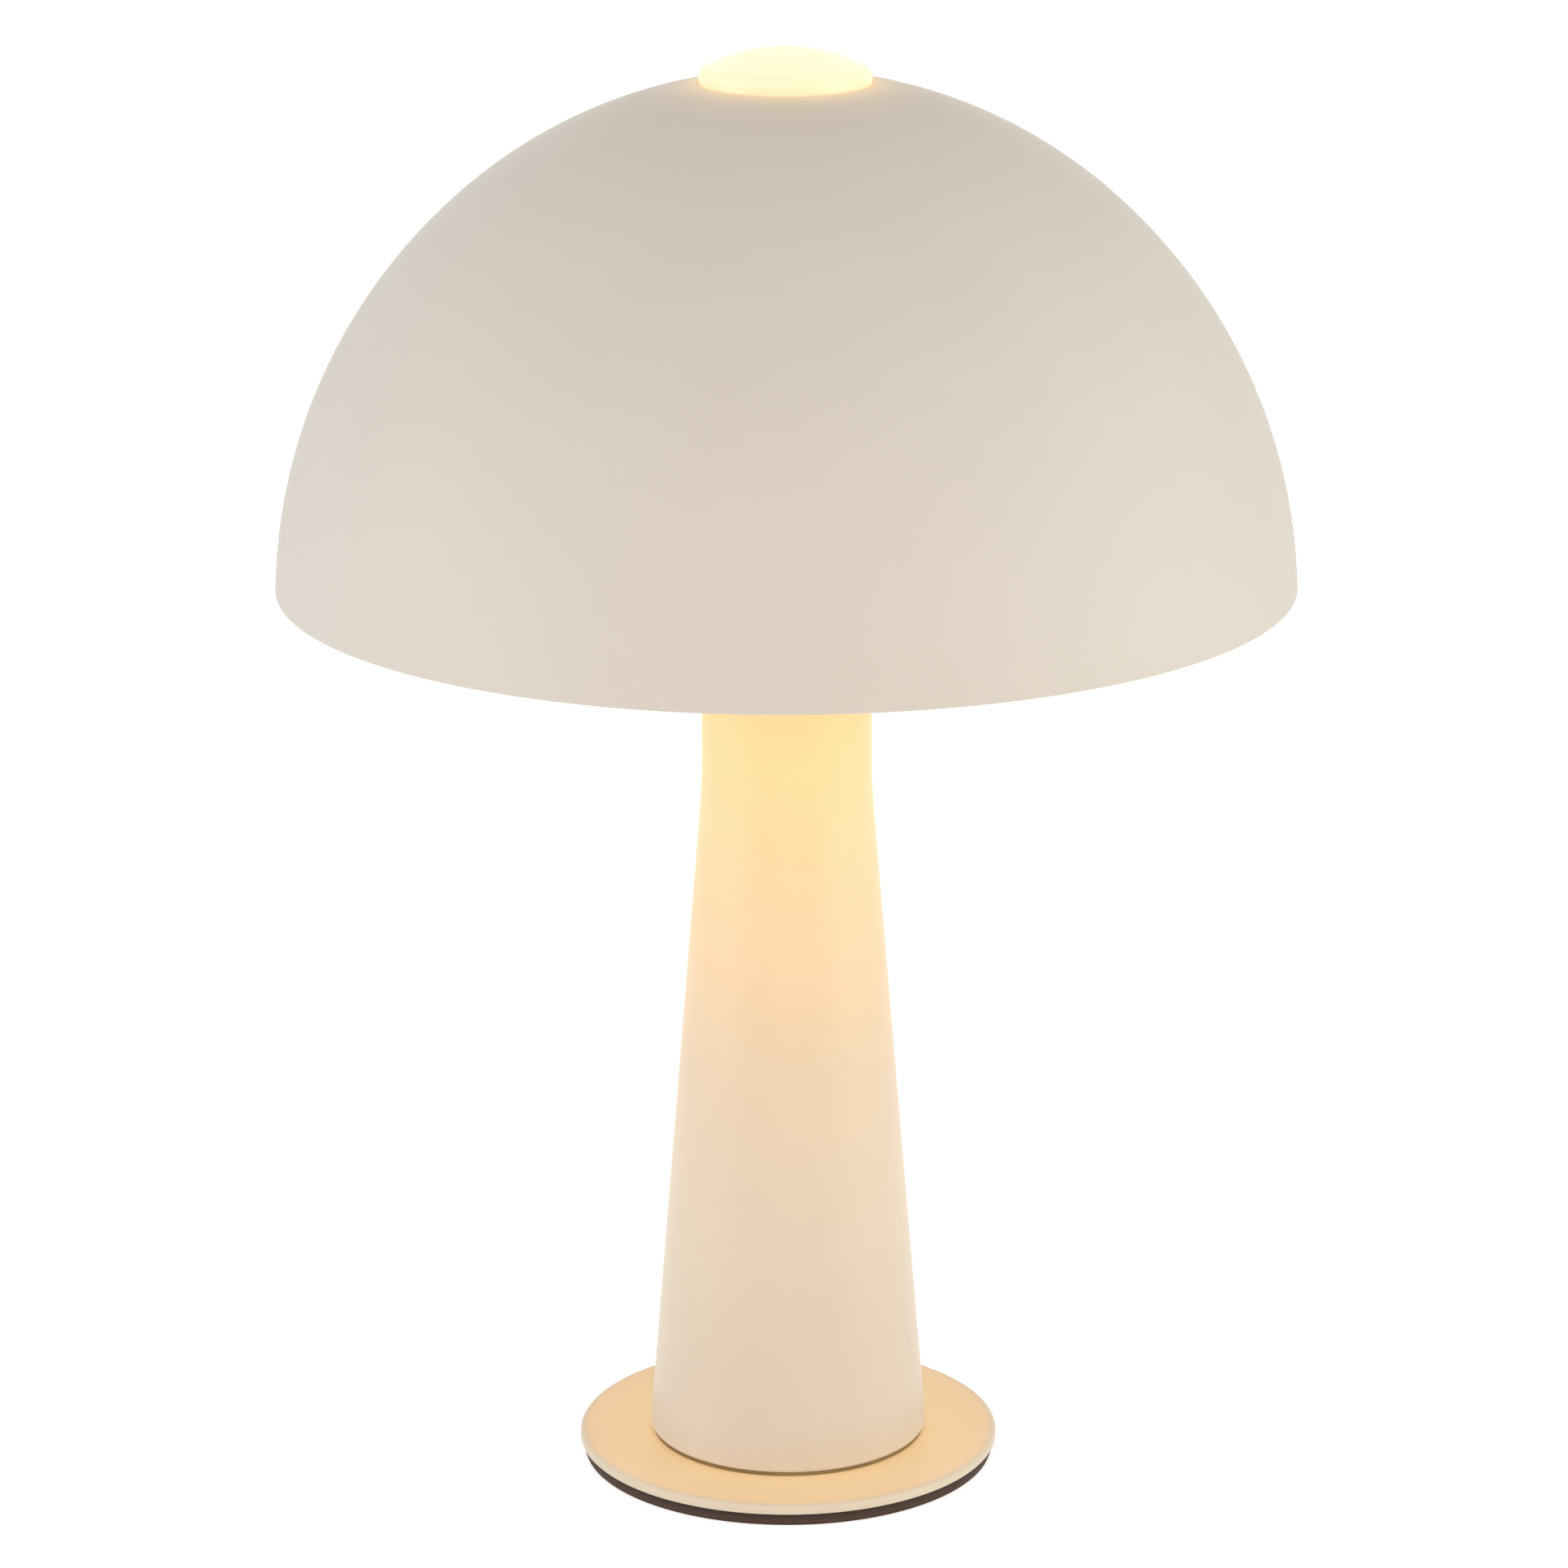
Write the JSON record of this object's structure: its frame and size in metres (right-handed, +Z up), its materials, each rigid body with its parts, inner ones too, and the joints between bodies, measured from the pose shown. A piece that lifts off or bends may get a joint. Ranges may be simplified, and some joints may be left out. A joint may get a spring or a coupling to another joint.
{
  "type": "mushroom table lamp",
  "caption": "Mushroom table lamp: a metal dome shade on a tapering opal glass stem with a thin round base, lit from inside, with an opal cap in the dome's crown.",
  "frame": {"origin": "on the table under the middle of the round base, the bottom centre of the object's box", "axes": "+Z up along the stem, +Y to the back, where the lead enters the base, +X to the right seen from the front"},
  "size_m": [0.3301, 0.3302, 0.475],
  "materials": {
    "plate_paint": "cream powder coat, satin",
    "weight_paint": "dark brown matt paint",
    "pad_foam": "closed-cell foam pad, matt",
    "gland_rubber": "moulded rubber, matt",
    "gasket_rubber": "brown rubber, matt",
    "zinc_steel": "bright zinc plate",
    "turned_steel": "turned steel, fine rings",
    "opal_glass": "opal glass, satin, lit from inside",
    "cap_opal": "opal glass, satin, lit from inside",
    "brown_wire": "insulated wire, brown",
    "blue_wire": "insulated wire, blue",
    "brass": "turned brass",
    "holder_resin": "moulded phenolic, off-white",
    "porcelain": "glazed porcelain insulator",
    "nickel": "nickel-plated brass shell",
    "lamp_glass": "clear glass bulb",
    "lamp_mount_glass": "clear pressed glass",
    "insulator_glass": "dark vitrite glass",
    "filament": "phosphor-coated filament, lit",
    "lead_wire": "drawn wire",
    "silicone": "clear-white silicone, matt",
    "ring_paint": "white powder coat, satin",
    "dome_paint": "warm greige powder coat, matt",
    "hub_paint": "white powder coat, satin"
  },
  "bodies": {
    "root": {"base_pad": "pad_foam", "base_weight": "weight_paint", "cord_gland": "gland_rubber", "base_plate": "plate_paint", "weight_screws": "zinc_steel", "boss_screws": "zinc_steel", "tube_boss": "turned_steel", "boss_nut": "zinc_steel", "centre_tube": "turned_steel", "seat_gasket": "gasket_rubber", "stem_glass": "opal_glass", "clamp_gasket": "gasket_rubber", "clamp_cup": "zinc_steel", "clamp_washer": "zinc_steel", "clamp_nut": "zinc_steel", "live_wire": "brown_wire", "neutral_wire": "blue_wire", "holder_bush": "brass", "holder_cap": "holder_resin", "holder_insert": "porcelain", "holder_screws": "brass", "holder_shell": "brass", "holder_contact": "brass", "holder_sleeve": "holder_resin", "neck_gasket": "silicone", "crown_ring": "ring_paint", "crown_screws": "zinc_steel"},
    "shade": {"shade_dome": "dome_paint", "shade_hub": "hub_paint"},
    "cap": {"cap_glass": "cap_opal", "cap_seal": "silicone"},
    "bulb_tip": {"bulb_contact": "lead_wire"},
    "bulb": {"bulb_insulator": "insulator_glass", "bulb_shell": "nickel", "bulb_mount": "lamp_mount_glass", "bulb_filaments": "filament", "bulb_leads": "lead_wire", "bulb_envelope": "lamp_glass"}
  },
  "joints": [
    {"name": "shade_lift", "type": "slide", "parent": "root", "child": "shade", "axis": [0, 0, 1], "range_m": [0, 0.18]},
    {"name": "cap_lift", "type": "slide", "parent": "root", "child": "cap", "axis": [0, 0, 1], "range_m": [0, 0.06]},
    {"name": "bulb_rise", "type": "slide", "parent": "root", "child": "bulb_tip", "axis": [0, 0, 1], "range_m": [0, 0.0099]},
    {"name": "bulb_turn", "type": "hinge", "parent": "bulb_tip", "child": "bulb", "pos_m": [0, 0, 0.34], "axis": [0, 0, 1], "range_deg": [0, 1260]}
  ],
  "couplings": [
    {"joint": "bulb_rise", "follows": "bulb_turn", "m_per_rad": 0.00044913}
  ]
}
